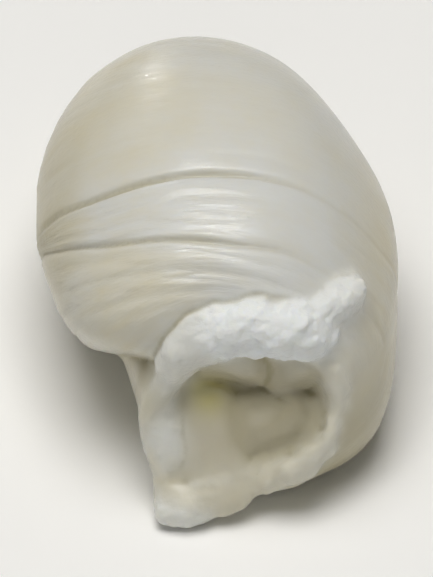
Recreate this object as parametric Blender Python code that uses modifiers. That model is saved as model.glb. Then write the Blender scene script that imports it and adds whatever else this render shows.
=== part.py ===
"""Mozzarella knot: one thick strand of stretched curd, tied once and pinched off at both ends.

The strand's broad wrap arches over the knot from left to right in pleats. One end comes out under
the wrap at the front and is torn open, with a thick curdy lip and the strand's inner roll showing.
The strand's loop shows below the wrap at the back, and its other end leaves there as a short
pinched stub. Everything is fused into one soft solid that rests on a flat spot.

Lengths are in millimetres, and MM turns them into Blender's metres. Axes: +X right, +Y back, +Z up.
The torn end points to -Y. Heights are counted from REST_HEIGHT below the flat spot.
"""

import math

import bmesh
import bpy
import numpy as np
from mathutils import Matrix, Vector, noise

MM = 0.001
NAME = "mozzarella_knot"
REST_HEIGHT = 2.2  # the soft underside is flat from here down

# --- the wrap: an arch of curd about an axis along Y --------------------------------------------
WRAP_AXIS_HEIGHT = 20.0
WRAP_BACK_POWER = 2.15  # 2 is an ellipse, more is boxier
# turn about the axis (0 left, 90 top, 180 right), front edge, back edge, reach from the axis,
# the front end's power, how much it narrows forwards of the first pleat per millimetre,
# where the three pleats lie along Y, and how deep they are (1 is full)
WRAP_STATIONS = (
    (-75.0, 2.0, 26.0, 16.0, 2.2, 0.05, 20.0, 14.0, 8.0, 0.3),
    (-35.0, -8.0, 31.0, 20.5, 2.8, 0.12, 15.0, 6.0, 1.0, 0.4),
    (0.0, -16.5, 33.0, 25.6, 3.8, 0.19, 9.5, 1.0, -6.0, 0.7),
    (25.0, -21.5, 34.0, 25.8, 3.4, 0.12, 2.5, -6.5, -13.0, 1.0),
    (50.0, -22.7, 34.5, 24.0, 2.8, 0.05, -1.0, -10.5, -15.5, 1.0),
    (90.0, -20.5, 34.0, 21.6, 2.5, 0.0, -0.7, -12.4, -17.0, 0.9),
    (125.0, -22.0, 31.0, 22.6, 2.3, 0.0, -2.2, -14.0, -18.0, 0.5),
    (155.0, -24.0, 26.0, 24.2, 2.2, 0.0, -3.6, -15.0, -19.0, 0.3),
    (180.0, -25.0, 23.3, 25.8, 2.2, 0.0, -4.0, -15.5, -20.0, 0.2),
    (215.0, -21.0, 24.0, 20.5, 2.2, 0.0, -4.0, -15.0, -19.0, 0.2),
    (255.0, -14.0, 22.0, 16.0, 2.2, 0.0, -3.0, -12.0, -15.0, 0.2),
)
# of each pleat: its sharp depth and width, its soft depth, and how far the curd in front drops
PLEATS = ((1.5, 0.8, 0.7, 0.8), (1.2, 0.7, 0.5, 0.4), (0.35, 0.6, 0.1, 0.1))
SOFT_PLEAT_WIDTH = 3.2

# --- the torn end: an open cup whose mouth faces forwards and up --------------------------------
MOUTH_CENTRE = (3.6, -25.5, 16.5)
MOUTH_TILT = 29.0  # degrees that the mouth looks up
MOUTH_RADIUS = 14.6
NECK_RADIUS = 11.5
NECK_DEPTH = 24.0
LIP_WALL = 3.4

# --- how finely the forms are drawn -------------------------------------------------------------
FINE_SIZE = 0.6  # of the first fused mesh, before its faces are thinned out
FACES_KEPT = 0.095
SOFT_ROUNDS = 4
STRAND_RINGS = 48
STRAND_SIDES = 72
WRAP_RINGS = 240
WRAP_SIDES = 360
MOUTH_SIDES = 144
MOUTH_RINGS = 60
CURD_OCTAVES = 2

CURD_COLOUR = (0.78, 0.76, 0.68, 1.0)
CURD_ROUGHNESS = 0.3


def blend_stations(stations, count):
    """Count rows read from a smooth curve through the stations, spaced evenly by station."""
    rows = np.array(stations, float)
    knots = np.arange(len(rows))
    at = np.linspace(0, len(rows) - 1, count)
    slope = np.gradient(rows, axis=0)
    low = np.minimum(at.astype(int), len(rows) - 2)
    t = (at - knots[low])[:, None]
    p0, p1, m0, m1 = rows[low], rows[low + 1], slope[low], slope[low + 1]
    return (
        (2 * t**3 - 3 * t**2 + 1) * p0
        + (t**3 - 2 * t**2 + t) * m0
        + (-2 * t**3 + 3 * t**2) * p1
        + (t**3 - t**2) * m1
    )


def superellipse(angles, power):
    """The unit superellipse at those angles, as cosine-like and sine-like values."""
    c, s = np.cos(angles), np.sin(angles)
    reach = (np.abs(c) ** power + np.abs(s) ** power) ** (-1 / power)
    return c * reach, s * reach


def curdled(rings, amount, grain):
    """The rings with their points moved out and in by a lumpy noise, both sizes in millimetres."""
    rings = np.asarray(rings, float)
    middles = rings.mean(axis=1)[:, None]
    lumps = np.array([[noise.fractal(Vector(p / grain), 1.2, 2.0, CURD_OCTAVES) for p in r] for r in rings])
    return rings + (rings - middles) / np.linalg.norm(
        rings - middles, axis=2, keepdims=True
    ) * (amount * lumps[..., None])


def loft(name, rings):
    """A closed mesh object through rings of points in millimetres, its two ends closed by fans."""
    rings = np.asarray(rings, float) * MM
    count, sides = rings.shape[:2]
    mesh = bmesh.new()
    grid = [[mesh.verts.new(p) for p in ring] for ring in rings]
    for near, far in zip(grid[:-1], grid[1:]):
        for i in range(sides):
            j = (i + 1) % sides
            mesh.faces.new((near[i], near[j], far[j], far[i]))
    for ring, points in ((grid[0], rings[0]), (grid[-1], rings[-1])):
        hub = mesh.verts.new(points.mean(0))
        for i in range(sides):
            mesh.faces.new((ring[i], ring[(i + 1) % sides], hub))
    bmesh.ops.recalc_face_normals(mesh, faces=mesh.faces)
    data = bpy.data.meshes.new(name)
    mesh.to_mesh(data)
    mesh.free()
    return bpy.data.objects.new(name, data)


def ellipsoid(name, centre, radii, turn=0.0):
    """A ball stretched to three radii, turned about Z in degrees."""
    mesh = bmesh.new()
    bmesh.ops.create_uvsphere(mesh, u_segments=32, v_segments=20, radius=1.0)
    bmesh.ops.scale(mesh, vec=Vector(radii) * MM, verts=mesh.verts)
    spin = Vector((0, 0, 1))
    bmesh.ops.rotate(mesh, matrix=Matrix.Rotation(math.radians(turn), 3, spin), verts=mesh.verts)
    bmesh.ops.translate(mesh, vec=Vector(centre) * MM, verts=mesh.verts)
    data = bpy.data.meshes.new(name)
    mesh.to_mesh(data)
    mesh.free()
    return bpy.data.objects.new(name, data)


def frames_along(path):
    """Tangent, side and up vectors at each point of a path, with no twist."""
    tangents = np.gradient(path, axis=0)
    tangents /= np.linalg.norm(tangents, axis=1)[:, None]
    up = np.array((0.0, 0.0, 1.0))
    sides, ups = [], []
    for t in tangents:
        side = np.cross(t, up)
        side /= np.linalg.norm(side)
        up = np.cross(side, t)
        sides.append(side)
        ups.append(up)
    return tangents, np.array(sides), np.array(ups)


def strand(name, stations, pleats=3, pleat_depth=0.0, power=2.1, lumps=0.0, grain=4.0):
    """A strand through stations of x, y, z, half width and half height, pleated and lumpy."""
    rows = blend_stations(stations, STRAND_RINGS)
    path = rows[:, :3]
    _, sides, ups = frames_along(path)
    angles = np.linspace(0, 2 * math.pi, STRAND_SIDES, endpoint=False)
    c, s = superellipse(angles, power)
    groove = 1 - pleat_depth * np.exp(-np.abs(np.sin(pleats * angles / 2)) / 0.35)
    rings = []
    for (x, y, z, width, height), side, up in zip(rows, sides, ups):
        ring = np.outer(c * groove * width, side) + np.outer(s * groove * height, up)
        rings.append(ring + (x, y, z))
    if lumps:
        rings = curdled(rings, lumps, grain)
    return loft(name, rings)


def wrap():
    """The broad pleated arch that goes over the knot from left to right."""
    rows = blend_stations(WRAP_STATIONS, WRAP_RINGS)
    angles = np.linspace(0, 2 * math.pi, WRAP_SIDES, endpoint=False)
    back = superellipse(angles, WRAP_BACK_POWER)
    rings = []
    for turn, front_y, back_y, reach, power, narrowing, *lines, full in rows:
        c, s = np.where(np.cos(angles) < 0, superellipse(angles, power), back)
        outer = np.clip(s, 0, 1) ** 0.5
        y = (front_y + back_y) / 2 + (back_y - front_y) / 2 * c
        r = reach / 2 + reach / 2 * s - outer * narrowing * np.clip(lines[0] - y, 0, None)
        for (depth, width, soft, drop), line in zip(PLEATS, lines):
            away = np.abs(y - line)
            groove = depth * np.exp(-away / width) + soft * np.exp(-away / SOFT_PLEAT_WIDTH)
            r = r - outer * full * (groove + drop / (1 + np.exp((y - line) / 0.5)))
        phi = math.radians(turn)
        x, z = -math.cos(phi) * r, WRAP_AXIS_HEIGHT + math.sin(phi) * r
        rings.append(np.stack([x, y, z], axis=1))
    return loft("wrap", rings)


def mouth_frame():
    """The mouth's centre, its right and up directions in its plane, and its outward normal."""
    tilt = math.radians(MOUTH_TILT)
    right = np.array((1.0, 0.0, 0.0))
    normal = np.array((0.0, -math.cos(tilt), math.sin(tilt)))
    return np.array(MOUTH_CENTRE), right, np.cross(normal, right), normal


def bump(angle, at, width):
    """A smooth bump of height 1 round a direction, all in degrees."""
    off = (angle - at + 180) % 360 - 180
    return np.exp(-((off / width) ** 2))


def mouth_rings(profile):
    """Rings about the mouth's axis, each from a radius and a rise at every angle."""
    centre, right, up, normal = mouth_frame()
    rad = np.linspace(0, 2 * math.pi, MOUTH_SIDES, endpoint=False)
    one = np.ones_like(rad)
    rings = []
    for radius, out in profile:
        ring = np.outer(radius * np.cos(rad), right) + np.outer(radius * np.sin(rad), up)
        rings.append(centre + ring + np.outer(out * one, normal))
    return rings


def rim_shape():
    """The torn rim round the mouth: its radius, its rise, and the wall's thickness at each angle."""
    deg = np.linspace(0, 360, MOUTH_SIDES, endpoint=False)
    radius = MOUTH_RADIUS * (
        1
        + 0.26 * bump(deg, 240, 22)
        - 0.05 * bump(deg, 0, 30)
        - 0.02 * bump(deg, 180, 30)
        - 0.14 * bump(deg, 292, 22)
    )
    rise = bump(deg, 240, 24)
    wall = LIP_WALL * (0.62 + 0.5 * bump(deg, 92, 48) + 0.6 * bump(deg, 240, 24))
    return deg, radius, rise, wall


def torn_end():
    """The torn end's outer form, from the neck inside the knot out to its rim, closed across."""
    deg, rim, rise, wall = rim_shape()
    one = np.ones_like(deg)
    profile = (
        (NECK_RADIUS * 0.5 * one, -NECK_DEPTH * one),
        (NECK_RADIUS * one, -NECK_DEPTH * 0.85 * one),
        (NECK_RADIUS * 1.15 * one, -NECK_DEPTH * 0.6 * one),
        (rim * 0.92, -8.0 * one),
        (rim * 0.99, -3.5 * one),
        (rim, rise - 1.2),
        (rim - wall * 0.5, rise),
        (rim - wall, rise - 1.0),
        (rim * 0.4, rise * 0.4 - 1.0),
        (rim * 0.05, -1.0 * one),
    )
    return loft("torn_end", blend_rings(mouth_rings(profile), MOUTH_RINGS))


def mouth_hollow():
    """The hollow of the mouth, which is cut out of the fused knot."""
    deg, rim, rise, wall = rim_shape()
    one = np.ones_like(deg)
    depth = (
        0.6
        + 6.5 * bump(deg, 105, 60)
        + 2.6 * bump(deg, 10, 45)
        + 2.0 * bump(deg, 300, 35)
    )
    profile = (
        (rim * 0.05, 8.0 * one),
        (rim - wall + 1.5, 8.0 * one),
        (rim - wall + 0.5, rise + 0.5),
        (rim - wall - 0.3, rise - 1.0),
        (rim - wall - 0.9, -depth * 0.6),
        (rim * 0.62, -depth),
        (rim * 0.3, -depth * 0.7 - 1.0),
        (rim * 0.05, -3.2 * one),
    )
    return loft("mouth_hollow", blend_rings(mouth_rings(profile), MOUTH_RINGS))


def blend_rings(rings, count):
    """More rings read from a smooth curve through the given ones."""
    rings = np.asarray(rings)
    flat = rings.reshape(len(rings), -1)
    return blend_stations(flat, count).reshape(count, *rings.shape[1:])


def knot_pieces():
    """The overlapping lengths of the strand, which are fused first."""
    core = ellipsoid("core", (0.0, 6.0, 18.4), (20.5, 23.0, 17.5))
    flank = strand(
        "flank",
        (
            (10.0, 14.0, 18.0, 9.0, 12.0),
            (15.0, 2.0, 16.5, 10.0, 13.5),
            (16.5, -9.0, 14.5, 9.0, 12.5),
            (15.5, -18.0, 12.0, 8.2, 11.0),
            (11.0, -23.6, 9.8, 6.2, 7.4),
            (4.0, -26.5, 7.8, 4.5, 5.2),
        ),
    )
    back_stub = strand(
        "back_stub",
        (
            (-3.0, 20.0, 13.0, 9.0, 8.5),
            (-6.5, 30.0, 9.5, 8.6, 7.6),
            (-9.5, 36.5, 7.0, 7.2, 6.2),
            (-12.0, 41.5, 5.6, 5.6, 4.6),
            (-14.5, 45.0, 5.4, 4.8, 3.9),
            (-15.6, 47.0, 5.6, 3.2, 2.6),
        ),
        pleats=7,
        pleat_depth=0.2,
    )
    back_loop = strand(
        "back_loop",
        (
            (-10.0, -2.0, 14.0, 4.0, 5.0),
            (-15.0, 4.0, 13.0, 6.0, 7.5),
            (-16.5, 12.0, 12.0, 7.5, 9.5),
            (-11.5, 22.0, 11.5, 8.0, 10.0),
            (-1.0, 27.5, 11.5, 8.0, 10.0),
            (10.0, 23.5, 12.5, 7.5, 9.5),
            (15.5, 12.0, 14.0, 6.5, 9.0),
            (11.0, 4.0, 15.0, 4.0, 5.0),
        ),
    )
    return [wrap(), core, flank, back_loop, back_stub, torn_end()]


def mouth_pieces():
    """What is laid over the cut mouth: the strand's own roll, the thick lip and its torn rim."""
    roll = ellipsoid("inner_roll", (7.2, -21.2, 10.8), (7.6, 6.7, 6.1), turn=-24.0)
    fold = strand(
        "inner_fold",
        (
            (-3.5, -21.7, 20.8, 1.8, 1.8),
            (1.5, -22.0, 21.9, 2.2, 2.2),
            (7.0, -22.3, 22.1, 2.3, 2.3),
            (12.0, -21.9, 22.3, 2.1, 2.1),
            (15.5, -22.0, 22.0, 1.6, 1.6),
        ),
        lumps=0.5,
        grain=3.5,
    )
    lip = strand(
        "lip",
        (
            (-7.6, -31.4, 6.0, 1.0, 1.0),
            (-8.1, -29.5, 8.8, 1.2, 1.2),
            (-8.6, -27.8, 11.8, 1.4, 1.4),
            (-8.9, -26.0, 15.4, 1.5, 1.5),
            (-8.3, -23.5, 19.3, 2.8, 2.8),
            (-4.7, -21.9, 24.0, 4.4, 4.4),
            (0.0, -21.2, 27.9, 4.9, 4.9),
            (5.0, -21.0, 29.1, 5.0, 5.0),
            (10.0, -21.3, 29.2, 4.7, 4.7),
            (14.0, -20.3, 29.2, 3.9, 3.9),
            (16.6, -18.7, 28.7, 2.2, 2.2),
        ),
        lumps=1.2,
        grain=3.4,
    )
    flake = strand(
        "flake",
        (
            (13.5, -18.8, 30.3, 2.8, 2.8),
            (16.8, -16.8, 30.9, 3.1, 3.1),
            (19.5, -14.8, 31.0, 2.6, 2.6),
            (21.4, -12.6, 30.9, 1.5, 1.5),
        ),
        lumps=0.8,
        grain=2.6,
    )
    right_rim = strand(
        "right_rim",
        (
            (16.3, -22.2, 23.4, 2.0, 2.0),
            (17.0, -23.6, 19.9, 2.2, 2.2),
            (16.6, -25.6, 16.2, 2.4, 2.4),
            (15.0, -27.3, 13.0, 2.6, 2.6),
            (11.5, -28.7, 10.6, 2.4, 2.4),
            (8.0, -29.5, 8.9, 2.0, 2.0),
            (5.0, -30.1, 7.6, 1.4, 1.4),
        ),
        lumps=0.8,
        grain=3.0,
    )
    tip = strand(
        "tip",
        (
            (-8.3, -31.1, 6.1, 1.2, 1.2),
            (-7.0, -32.6, 3.9, 2.3, 2.3),
            (-3.8, -32.8, 3.7, 2.4, 2.4),
            (-0.5, -32.4, 4.7, 2.2, 2.2),
            (3.0, -31.8, 5.3, 1.5, 1.5),
            (5.0, -30.6, 7.0, 1.0, 1.0),
        ),
        lumps=0.8,
        grain=3.0,
    )
    return [roll, fold, lip, flake, right_rim, tip]


def joined(name, objects):
    """One object that holds every object's mesh, in place of them."""
    mesh = bmesh.new()
    for obj in objects:
        mesh.from_mesh(obj.data)
        bpy.data.objects.remove(obj)
    data = bpy.data.meshes.new(name)
    mesh.to_mesh(data)
    mesh.free()
    return bpy.data.objects.new(name, data)


def table():
    """The block that the knot's flat spot is cut by."""
    mesh = bmesh.new()
    bmesh.ops.create_cube(mesh, size=200 * MM)
    bmesh.ops.translate(mesh, vec=(0, 0, -100 * MM), verts=mesh.verts)
    data = bpy.data.meshes.new("table")
    mesh.to_mesh(data)
    mesh.free()
    return bpy.data.objects.new("table", data)


def add_remesh(obj, size):
    """A Remesh modifier that fuses what overlaps into one closed surface."""
    remesh = obj.modifiers.new("fuse", "REMESH")
    remesh.mode = "VOXEL"
    remesh.voxel_size = size * MM


def add_cut(obj, cutter):
    """A Boolean modifier that takes the cutter away."""
    cut = obj.modifiers.new(cutter.name, "BOOLEAN")
    cut.operation = "DIFFERENCE"
    cut.object = cutter


def opened_body(size, scratch):
    """The fused lengths of the strand with the mouth hollowed out, as an object of its own."""
    body = joined("body", knot_pieces())
    hollow = mouth_hollow()
    for obj in (body, hollow):
        scratch.objects.link(obj)
    add_remesh(body, size)
    add_cut(body, hollow)
    shaped = body.evaluated_get(bpy.context.evaluated_depsgraph_get())
    opened = bpy.data.objects.new("opened", bpy.data.meshes.new_from_object(shaped))
    for obj in (body, hollow):
        bpy.data.objects.remove(obj)
    return opened


def curd_material():
    """Wet, fresh stretched curd."""
    material = bpy.data.materials.new(NAME)
    material.use_nodes = True
    shader = material.node_tree.nodes["Principled BSDF"]
    shader.inputs["Base Color"].default_value = CURD_COLOUR
    shader.inputs["Roughness"].default_value = CURD_ROUGHNESS
    shader.inputs["Metallic"].default_value = 0.0
    return material


def build(size=FINE_SIZE, kept=FACES_KEPT):
    """The knot as one object in its collection, with its cutter in a hidden one."""
    shown = bpy.data.collections.new(NAME)
    cutters = bpy.data.collections.new("cutters")
    for collection in (shown, cutters):
        bpy.context.scene.collection.children.link(collection)

    knot = joined(NAME, [opened_body(size, cutters), *mouth_pieces()])
    knot.data.transform(Matrix.Translation((0, 0, -REST_HEIGHT * MM)))
    knot.data.polygons.foreach_set("use_smooth", [True] * len(knot.data.polygons))
    knot.data.materials.append(curd_material())
    shown.objects.link(knot)
    add_remesh(knot, size)
    knot.modifiers["fuse"].use_smooth_shade = True
    soften = knot.modifiers.new("soften", "SMOOTH")
    soften.factor = 0.5
    soften.iterations = SOFT_ROUNDS
    thin = knot.modifiers.new("thin", "DECIMATE")
    thin.ratio = kept

    block = table()
    cutters.objects.link(block)
    block.hide_render = True
    block.display_type = "WIRE"
    add_cut(knot, block)
    return knot


def main():
    for old in list(bpy.data.objects):
        bpy.data.objects.remove(old)
    build()


if __name__ == "__main__":
    main()
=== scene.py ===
"""Mozzarella knot: the finished look of a hand-tied knot of fresh stretched-curd cheese.

One thick strand is tied once. Its broad pleated wrap goes over the knot, one end is torn open at
the front under a thick curdy lip, and the other end is a pinched stub at the back. The lengths of
the strand are lofted from named sizes, fused and hollowed. Geometry Nodes then press the pulled
fibres, the sharp bottoms of the pleats and the crumbs of the torn curd into them.

Lengths are in millimetres, and MM turns them into metres. Axes: +X right, +Y back, +Z up.
"""

import logging
import math
from dataclasses import dataclass, field
from enum import Enum
from functools import partial

import bmesh
import bpy
import numpy as np
from bpy.types import Material, Mesh, Node, NodeSocket, NodeTree, Object
from mathutils import Matrix, Vector, noise
from mathutils.bvhtree import BVHTree


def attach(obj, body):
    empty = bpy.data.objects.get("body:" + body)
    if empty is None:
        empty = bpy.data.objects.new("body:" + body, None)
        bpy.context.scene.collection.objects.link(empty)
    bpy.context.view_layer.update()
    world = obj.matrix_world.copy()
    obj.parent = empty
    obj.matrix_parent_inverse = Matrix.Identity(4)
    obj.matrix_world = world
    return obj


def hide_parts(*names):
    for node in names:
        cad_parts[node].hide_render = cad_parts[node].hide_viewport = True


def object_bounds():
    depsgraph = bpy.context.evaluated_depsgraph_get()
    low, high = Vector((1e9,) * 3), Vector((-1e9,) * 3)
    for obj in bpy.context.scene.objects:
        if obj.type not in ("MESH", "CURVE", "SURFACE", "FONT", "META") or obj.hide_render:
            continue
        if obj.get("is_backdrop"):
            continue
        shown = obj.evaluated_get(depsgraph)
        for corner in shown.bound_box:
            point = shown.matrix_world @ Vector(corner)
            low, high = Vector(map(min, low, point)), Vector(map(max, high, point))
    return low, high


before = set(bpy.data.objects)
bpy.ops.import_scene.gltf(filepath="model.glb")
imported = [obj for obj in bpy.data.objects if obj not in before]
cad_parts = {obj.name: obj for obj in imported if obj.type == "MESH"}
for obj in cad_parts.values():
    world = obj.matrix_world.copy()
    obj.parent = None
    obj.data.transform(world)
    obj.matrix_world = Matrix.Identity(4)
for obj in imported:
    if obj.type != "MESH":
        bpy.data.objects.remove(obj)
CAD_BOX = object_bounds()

log = logging.getLogger("mozzarella_knot")

MM = 0.001
NODE = "mozzarella_knot"
BODY = "root"
REST_HEIGHT = 2.2  # the soft underside is flat from here down, and this height is the table's
MATH = "ShaderNodeMath"
CURDLE = (1.2, 2.0, 2)  # the dimension, the lacunarity and the octaves of the torn curd's lumps

Array = np.ndarray
Rows = tuple[tuple[float, ...], ...]


class Zone(Enum):
    """What kind of curd a length of the strand shows."""

    SKIN = "stretched smooth outside"
    TORN = "raw broken edge"
    INNER = "wet inside of the opened end"


# --- curves and rings ---


def blend_stations(stations: Rows | Array, count: int) -> Array:
    """Reads rows from a smooth curve through the stations, spaced evenly by station.

    Args:
        stations: Rows of numbers, one for each station.
        count: How many rows to read.

    Returns:
        An array of count rows.
    """
    rows = np.array(stations, float)
    at = np.linspace(0, len(rows) - 1, count)
    slope = np.gradient(rows, axis=0)
    low = np.minimum(at.astype(int), len(rows) - 2)
    t = (at - low)[:, None]
    p0, p1, m0, m1 = rows[low], rows[low + 1], slope[low], slope[low + 1]
    return (
        (2 * t**3 - 3 * t**2 + 1) * p0
        + (t**3 - 2 * t**2 + t) * m0
        + (-2 * t**3 + 3 * t**2) * p1
        + (t**3 - t**2) * m1
    )


def superellipse(angles: Array, power: float) -> tuple[Array, Array]:
    """Walks round a unit superellipse.

    Args:
        angles: Directions in radians.
        power: 2 is a circle, more is boxier.

    Returns:
        The two coordinates at each direction.
    """
    c, s = np.cos(angles), np.sin(angles)
    reach = (np.abs(c) ** power + np.abs(s) ** power) ** (-1 / power)
    return c * reach, s * reach


def bumps(angle: Array, *rows: tuple[float, ...]) -> Array:
    """The sum of smooth bumps round directions, all in degrees.

    Args:
        angle: The directions to read it at.
        rows: Each bump's height, direction and width.

    Returns:
        The sum at each direction.
    """
    total = np.zeros_like(angle)
    for height, at, width in rows:
        total += height * np.exp(-((((angle - at + 180) % 360 - 180) / width) ** 2))
    return total


def border(share: Array) -> Array:
    """1 where a share is a half, and 0 where it is all or nothing."""
    return 4 * share * (1 - share)


@dataclass(frozen=True)
class Ramp:
    """A smooth change from least at start to most at end, where either may be the larger."""

    start: float
    end: float
    most: float = 1.0
    least: float = 0.0

    def at(self, value: Array) -> Array:
        """What the change has come to at each value."""
        t = np.clip((value - self.start) / (self.end - self.start), 0, 1)
        return self.least + (self.most - self.least) * (t * t * (3 - 2 * t))


def loft(name: str, rings: Array) -> Object:
    """Makes a closed mesh through rings of points, its two ends closed by fans.

    Args:
        name: The object's name.
        rings: An array of rings by points by three, in millimetres.

    Returns:
        The new object, in no collection.
    """
    rings = np.asarray(rings, float) * MM
    sides = rings.shape[1]
    mesh = bmesh.new()
    grid = [[mesh.verts.new(p) for p in ring] for ring in rings]
    for near, far in zip(grid[:-1], grid[1:]):
        for i in range(sides):
            j = (i + 1) % sides
            mesh.faces.new((near[i], near[j], far[j], far[i]))
    for ring, points in ((grid[0], rings[0]), (grid[-1], rings[-1])):
        hub = mesh.verts.new(points.mean(0))
        for i in range(sides):
            mesh.faces.new((ring[i], ring[(i + 1) % sides], hub))
    bmesh.ops.recalc_face_normals(mesh, faces=mesh.faces)
    data = bpy.data.meshes.new(name)
    mesh.to_mesh(data)
    mesh.free()
    return bpy.data.objects.new(name, data)


def vectors(mesh: Mesh, name: str) -> Array:
    """The co or the normal of a mesh's points, one row for each."""
    flat = np.empty(len(mesh.vertices) * 3)
    mesh.vertices.foreach_get(name, flat)
    return flat.reshape(-1, 3)


def boxed(mesh: Mesh) -> None:
    """Keeps every point of a mesh inside the solid's own box."""
    low, high = (np.array(corner) for corner in CAD_BOX)
    mesh.vertices.foreach_set("co", np.clip(vectors(mesh, "co"), low, high).ravel())
    mesh.update()


# --- the lengths of the strand ---


@dataclass(frozen=True)
class Strand:
    """A length of curd through stations of x, y, z, half width and, if it differs, half height.

    Attributes:
        pleats: How many grooves run along it.
        pleat_depth: Their depth as a share of its thickness, and pleat_width their sharpness.
        lumps: How far its torn surface swells and sinks.
        grain: The size of those lumps.
        pull: How strongly its fibres show.
        white: How raw and white its curd is.
        soft: How much its joins are melted together.
        power: How square its section is: 2 is a circle.
    """

    name: str
    stations: Rows
    zone: Zone = Zone.SKIN
    pleats: int = 3
    pleat_depth: float = 0.0
    pleat_width: float = 0.35
    lumps: float = 0.0
    grain: float = 4.0
    pull: float = 0.35
    white: float = 0.0
    soft: float = 0.0
    power: float = 2.1
    ring_count: int = 48
    sides: int = 72

    def frames(self) -> tuple[Array, Array, Array, Array]:
        """Follows the strand without twist.

        Returns:
            The rows read from the stations, then the tangents, side and up vectors there.
        """
        rows = blend_stations(self.stations, self.ring_count)
        tangents = np.gradient(rows[:, :3], axis=0)
        tangents /= np.linalg.norm(tangents, axis=1)[:, None]
        up = np.array((0.0, 0.0, 1.0))
        sides, ups = [], []
        for tangent in tangents:
            side = np.cross(tangent, up)
            side /= np.linalg.norm(side)
            up = np.cross(side, tangent)
            sides.append(side)
            ups.append(up)
        return rows, tangents, np.array(sides), np.array(ups)

    def rings(self) -> Array:
        """The rings of points that its surface is lofted through, in millimetres."""
        rows, _, sides, ups = self.frames()
        angles = np.linspace(0, 2 * math.pi, self.sides, endpoint=False)
        c, s = superellipse(angles, self.power)
        away = np.abs(np.sin(self.pleats * angles / 2))
        groove = 1 - self.pleat_depth * np.exp(-away / self.pleat_width)
        rings = []
        for row, side, up in zip(rows, sides, ups):
            ring = np.outer(c * groove * row[3], side) + np.outer(s * groove * row[-1], up)
            rings.append(ring + row[:3])
        return self.curdled(np.array(rings)) if self.lumps else np.array(rings)

    def curdled(self, rings: Array) -> Array:
        """Moves the rings' points out and in by a lumpy noise."""
        middles = rings.mean(axis=1)[:, None]
        out = rings - middles
        out /= np.linalg.norm(out, axis=2, keepdims=True)
        lumps = [
            [noise.fractal(Vector(point / self.grain), *CURDLE) for point in ring]
            for ring in rings
        ]
        return rings + out * self.lumps * np.array(lumps)[..., None]

    def fibre(self, points: Array) -> Array:
        """Each point's place along the fibres and in the two directions across them."""
        rows, tangents, sides, ups = self.frames()
        centres = rows[:, :3]
        far = ((points**2).sum(1)[:, None] - 2 * points @ centres.T) + (centres**2).sum(1)
        near = far.argmin(1)
        run = np.append(0, np.cumsum(np.linalg.norm(np.diff(centres, axis=0), axis=1)))
        off = points - centres[near]
        along = run[near] + (off * tangents[near]).sum(1)
        return np.stack([along, (off * sides[near]).sum(1), (off * ups[near]).sum(1)], axis=1)


@dataclass(frozen=True)
class Ball:
    """A rounded mass of curd, stretched to three radii and turned about Z in degrees."""

    name: str
    centre: tuple[float, float, float]
    radii: tuple[float, float, float]
    turn: float = 0.0
    zone: Zone = Zone.SKIN
    pull: float = 0.2
    white: float = 0.0
    soft: float = 0.0
    ring_count: int = 40
    sides: int = 64
    pole: float = 0.02

    def axes(self) -> Array:
        """Its three turned axes, as rows."""
        c, s = math.cos(math.radians(self.turn)), math.sin(math.radians(self.turn))
        return np.array(((c, s, 0), (-s, c, 0), (0, 0, 1)))

    def rings(self) -> Array:
        """Its rings of points, in millimetres."""
        down = np.linspace(self.pole, math.pi - self.pole, self.ring_count)[:, None]
        turn = np.linspace(0, 2 * math.pi, self.sides, endpoint=False)[None]
        wide, high = np.sin(down), np.cos(down) + 0 * turn
        unit = np.stack([wide * np.cos(turn), wide * np.sin(turn), high], axis=2)
        return (unit * self.radii) @ self.axes() + self.centre

    def fibre(self, points: Array) -> Array:
        """Each point's place along and across the fibres."""
        return (points - self.centre) @ self.axes().T


@dataclass(frozen=True)
class Pleat:
    """A pleat pinched into the wrap: a narrow cut, a soft slope behind, a step down in front."""

    sharp_depth: float
    sharp_width: float
    soft_depth: float
    drop: float
    soft_width: float = 2.4
    front_width: float = 0.5
    drop_width: float = 0.3


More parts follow.
